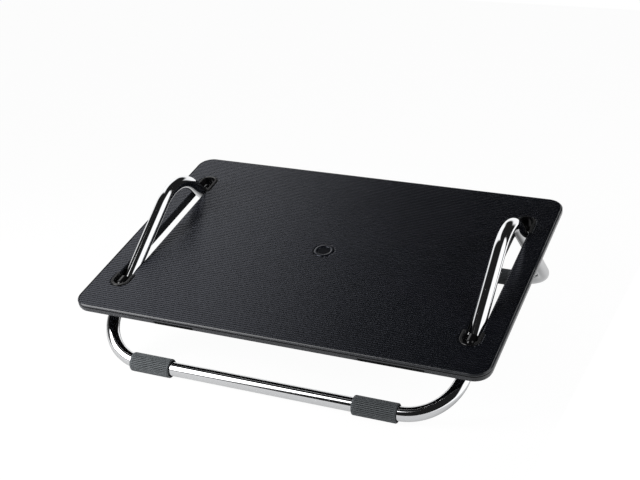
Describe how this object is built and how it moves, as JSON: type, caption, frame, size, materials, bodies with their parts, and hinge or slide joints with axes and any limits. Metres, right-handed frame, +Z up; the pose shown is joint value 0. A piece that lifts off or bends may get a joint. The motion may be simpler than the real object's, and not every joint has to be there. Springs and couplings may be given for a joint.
{
  "type": "tilting under-desk footrest",
  "caption": "Ridged plastic foot platform that tilts on a closed loop of bent chrome tube, with ribbed rubber sleeves on the floor bars.",
  "frame": {"origin": "on the floor, midway between the front and the rear floor bar and between the two sides", "axes": "+X to the right of the person who uses it, +Y to the back, away from the person, +Z up"},
  "size_m": [0.52, 0.4756, 0.1783],
  "materials": {
    "platform": "satin moulded plastic with fine ridges",
    "guide": "smooth glossy moulded plastic",
    "tube": "bright chrome plate on bent steel tube",
    "spigot": "plain turned steel",
    "sleeve": "matt ribbed rubber"
  },
  "bodies": {
    "frame": {"left_side_tube": "tube", "right_side_tube": "tube", "front_cross_tube": "tube", "rear_cross_tube": "tube", "front_left_spigot": "spigot", "front_right_spigot": "spigot", "rear_left_spigot": "spigot", "rear_right_spigot": "spigot", "front_left_sleeve": "sleeve", "front_right_sleeve": "sleeve", "rear_left_sleeve": "sleeve", "rear_right_sleeve": "sleeve"},
    "platform": {"platform": "platform", "front_left_guide": "guide", "front_right_guide": "guide", "rear_left_guide": "guide", "rear_right_guide": "guide"}
  },
  "joints": [
    {"name": "platform_tilt", "type": "hinge", "parent": "frame", "child": "platform", "pos_m": [0, -0.03233, -0.02492], "axis": [1, 0, 0], "range_deg": [-15.8, 0]}
  ]
}
